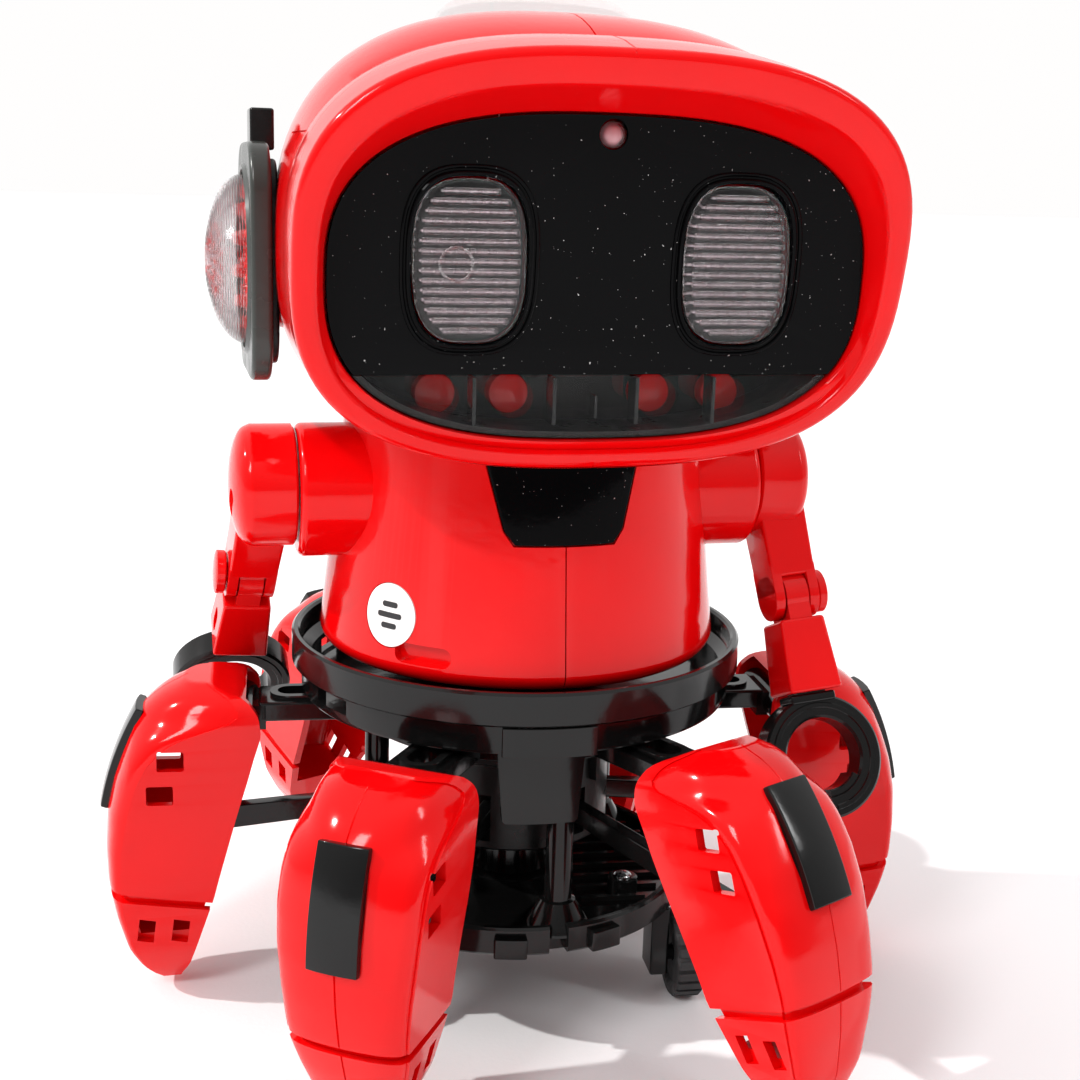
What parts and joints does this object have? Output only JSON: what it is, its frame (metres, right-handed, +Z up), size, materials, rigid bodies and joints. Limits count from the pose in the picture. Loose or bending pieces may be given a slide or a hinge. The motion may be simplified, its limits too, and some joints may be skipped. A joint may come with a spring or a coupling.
{
  "type": "toy robot",
  "caption": "Insect-legged battery toy robot with a hooded head, clear ears and dome, swinging arms with ring grippers, and a wheeled base whose cam moves claw-shaped legs.",
  "frame": {"origin": "centre of the bounding box, at the lowest point of the wheels", "axes": "+Z up, the face looks towards -Y, the robot's left is towards -X"},
  "size_m": [0.1772, 0.178, 0.2102],
  "materials": {
    "red_plastic": "glossy injection-moulded",
    "black_plastic": "glossy injection-moulded",
    "grey_plastic": "satin",
    "clear_plastic": "clear polished plastic",
    "white_plastic": "matte",
    "sticker_white": null,
    "rubber": "matte",
    "battery_metal": "satin can"
  },
  "bodies": {
    "robot": {"head_hood": "red_plastic", "head_shell_left": "red_plastic", "head_shell_right": "red_plastic", "face_carrier": "red_plastic", "face_panel": "black_plastic", "mouth_grille": "black_plastic", "mouth_window": "clear_plastic", "eye_lens_left": "clear_plastic", "eye_lens_right": "clear_plastic", "forehead_lamp": "clear_plastic", "ear_frame_left": "grey_plastic", "ear_frame_right": "grey_plastic", "ear_lens_left": "clear_plastic", "ear_lens_right": "clear_plastic", "top_dome": "clear_plastic", "torso_shell_left": "red_plastic", "torso_shell_right": "red_plastic", "chest_window": "black_plastic", "torso_sticker": "sticker_white", "battery_1": "battery_metal", "battery_2": "battery_metal", "battery_3": "battery_metal", "drive_motor": "battery_metal", "waist_bowl": "black_plastic", "leg_frame": "black_plastic", "cam_box": "black_plastic", "base_plate": "black_plastic"},
    "battery_door": {"battery_cover": "red_plastic"},
    "cam": {"cam_disc": "white_plastic"},
    "switch": {"power_switch": "white_plastic"},
    "wheel_left": {"drive_wheel_left": "rubber"},
    "wheel_right": {"drive_wheel_right": "rubber"},
    "caster": {"caster_fork": "black_plastic"},
    "caster_roller": {"caster_wheel": "rubber"},
    "arm_left": {"upper_arm_left": "red_plastic", "elbow_pin_left": "red_plastic"},
    "forearm_left": {"forearm_left": "red_plastic", "hand_left": "black_plastic"},
    "arm_right": {"upper_arm_right": "red_plastic", "elbow_pin_right": "red_plastic"},
    "forearm_right": {"forearm_right": "red_plastic", "hand_right": "black_plastic"},
    "leg_front_left": {"leg_shell_front_left": "red_plastic", "leg_pad_front_left": "black_plastic"},
    "rod_front_left": {"leg_rod_front_left": "black_plastic"},
    "leg_front_right": {"leg_shell_front_right": "red_plastic", "leg_pad_front_right": "black_plastic"},
    "rod_front_right": {"leg_rod_front_right": "black_plastic"},
    "leg_side_left": {"leg_shell_side_left": "red_plastic", "leg_pad_side_left": "black_plastic"},
    "rod_side_left": {"leg_rod_side_left": "black_plastic"},
    "leg_side_right": {"leg_shell_side_right": "red_plastic", "leg_pad_side_right": "black_plastic"},
    "rod_side_right": {"leg_rod_side_right": "black_plastic"},
    "leg_rear_left": {"leg_shell_rear_left": "red_plastic", "leg_pad_rear_left": "black_plastic"},
    "rod_rear_left": {"leg_rod_rear_left": "black_plastic"},
    "leg_rear_right": {"leg_shell_rear_right": "red_plastic", "leg_pad_rear_right": "black_plastic"},
    "rod_rear_right": {"leg_rod_rear_right": "black_plastic"}
  },
  "joints": [
    {"name": "battery_cover_slide", "type": "slide", "parent": "robot", "child": "battery_door", "axis": [0, 1, 0], "range_m": [0, 0.02]},
    {"name": "cam_spin", "type": "hinge", "parent": "robot", "child": "cam", "pos_m": [0, 0, 0.045], "axis": [0, 0, 1], "continuous": true},
    {"name": "power_switch_slide", "type": "slide", "parent": "robot", "child": "switch", "axis": [0.9969, -0.0785, 0], "range_m": [-0.0017, 0.0017]},
    {"name": "drive_wheel_left_spin", "type": "hinge", "parent": "robot", "child": "wheel_left", "pos_m": [-0.0373, -0.01512, 0.0095], "axis": [0.9969, -0.0785, 0], "continuous": true},
    {"name": "drive_wheel_right_spin", "type": "hinge", "parent": "robot", "child": "wheel_right", "pos_m": [0.03448, -0.02077, 0.0095], "axis": [0.9969, -0.0785, 0], "continuous": true},
    {"name": "caster_swivel", "type": "hinge", "parent": "robot", "child": "caster", "pos_m": [0.00204, 0.02592, 0.02], "axis": [0, 0, 1], "continuous": true},
    {"name": "caster_wheel_spin", "type": "hinge", "parent": "caster", "child": "caster_roller", "pos_m": [0.00235, 0.02991, 0.0075], "axis": [0.9969, -0.0785, 0], "continuous": true},
    {"name": "shoulder_left", "type": "hinge", "parent": "robot", "child": "arm_left", "pos_m": [-0.048, -0.005, 0.1125], "axis": [-1, 0, 0], "range_deg": [-30, 0.5]},
    {"name": "elbow_left", "type": "hinge", "parent": "arm_left", "child": "forearm_left", "pos_m": [-0.05602, 0.00974, 0.09064], "axis": [-0.9956, -0.0526, 0.078], "range_deg": [-12, 0]},
    {"name": "shoulder_right", "type": "hinge", "parent": "robot", "child": "arm_right", "pos_m": [0.048, -0.005, 0.1125], "axis": [-1, 0, 0], "range_deg": [-0.5, 45]},
    {"name": "elbow_right", "type": "hinge", "parent": "arm_right", "child": "forearm_right", "pos_m": [0.05602, -0.01572, 0.08842], "axis": [-0.9956, -0.0383, -0.086], "range_deg": [-0.5, 45]},
    {"name": "leg_front_left_swing", "type": "hinge", "parent": "robot", "child": "leg_front_left", "pos_m": [-0.03285, -0.0478, 0.062], "axis": [-0.8241, 0.5664, 0], "range_deg": [-1, 22]},
    {"name": "leg_rod_front_left_tilt", "type": "hinge", "parent": "leg_front_left", "child": "rod_front_left", "pos_m": [-0.03427, -0.04987, 0.03713], "axis": [-0.8241, 0.5664, 0], "range_deg": [-22, 1]},
    {"name": "leg_front_right_swing", "type": "hinge", "parent": "robot", "child": "leg_front_right", "pos_m": [0.02497, -0.05235, 0.062], "axis": [-0.9026, -0.4305, 0], "range_deg": [-22, 1]},
    {"name": "leg_rod_front_right_tilt", "type": "hinge", "parent": "leg_front_right", "child": "rod_front_right", "pos_m": [0.03003, -0.06296, 0.03994], "axis": [-0.9026, -0.4305, 0], "range_deg": [-1, 22]},
    {"name": "leg_side_left_swing", "type": "hinge", "parent": "robot", "child": "leg_side_left", "pos_m": [-0.05782, 0.00455, 0.062], "axis": [0.0785, 0.9969, 0], "range_deg": [-9, 13]},
    {"name": "leg_rod_side_left_tilt", "type": "hinge", "parent": "leg_side_left", "child": "rod_side_left", "pos_m": [-0.06379, 0.00502, 0.03773], "axis": [0.0785, 0.9969, 0], "range_deg": [-13, 9]},
    {"name": "leg_side_right_swing", "type": "hinge", "parent": "robot", "child": "leg_side_right", "pos_m": [0.05782, -0.00455, 0.062], "axis": [-0.0785, -0.9969, 0], "range_deg": [-9, 13]},
    {"name": "leg_rod_side_right_tilt", "type": "hinge", "parent": "leg_side_right", "child": "rod_side_right", "pos_m": [0.06379, -0.00502, 0.03773], "axis": [-0.0785, -0.9969, 0], "range_deg": [-13, 9]},
    {"name": "leg_rear_left_swing", "type": "hinge", "parent": "robot", "child": "leg_rear_left", "pos_m": [-0.02497, 0.05235, 0.062], "axis": [0.9026, 0.4305, 0], "range_deg": [-22, 1]},
    {"name": "leg_rod_rear_left_tilt", "type": "hinge", "parent": "leg_rear_left", "child": "rod_rear_left", "pos_m": [-0.03003, 0.06296, 0.03994], "axis": [0.9026, 0.4305, 0], "range_deg": [-1, 22]},
    {"name": "leg_rear_right_swing", "type": "hinge", "parent": "robot", "child": "leg_rear_right", "pos_m": [0.03285, 0.0478, 0.062], "axis": [0.8241, -0.5664, 0], "range_deg": [-1, 22]},
    {"name": "leg_rod_rear_right_tilt", "type": "hinge", "parent": "leg_rear_right", "child": "rod_rear_right", "pos_m": [0.03427, 0.04987, 0.03713], "axis": [0.8241, -0.5664, 0], "range_deg": [-22, 1]}
  ],
  "couplings": [
    {"joint": "leg_rod_front_left_tilt", "follows": "leg_front_left_swing", "ratio": -1},
    {"joint": "leg_rod_front_right_tilt", "follows": "leg_front_right_swing", "ratio": -1},
    {"joint": "leg_side_left_swing", "follows": "leg_side_right_swing", "ratio": 1},
    {"joint": "leg_rod_side_left_tilt", "follows": "leg_side_right_swing", "ratio": -1},
    {"joint": "leg_rod_side_right_tilt", "follows": "leg_side_right_swing", "ratio": -1},
    {"joint": "leg_rear_left_swing", "follows": "leg_front_right_swing", "ratio": 1},
    {"joint": "leg_rod_rear_left_tilt", "follows": "leg_front_right_swing", "ratio": -1},
    {"joint": "leg_rear_right_swing", "follows": "leg_front_left_swing", "ratio": 1},
    {"joint": "leg_rod_rear_right_tilt", "follows": "leg_front_left_swing", "ratio": -1}
  ]
}
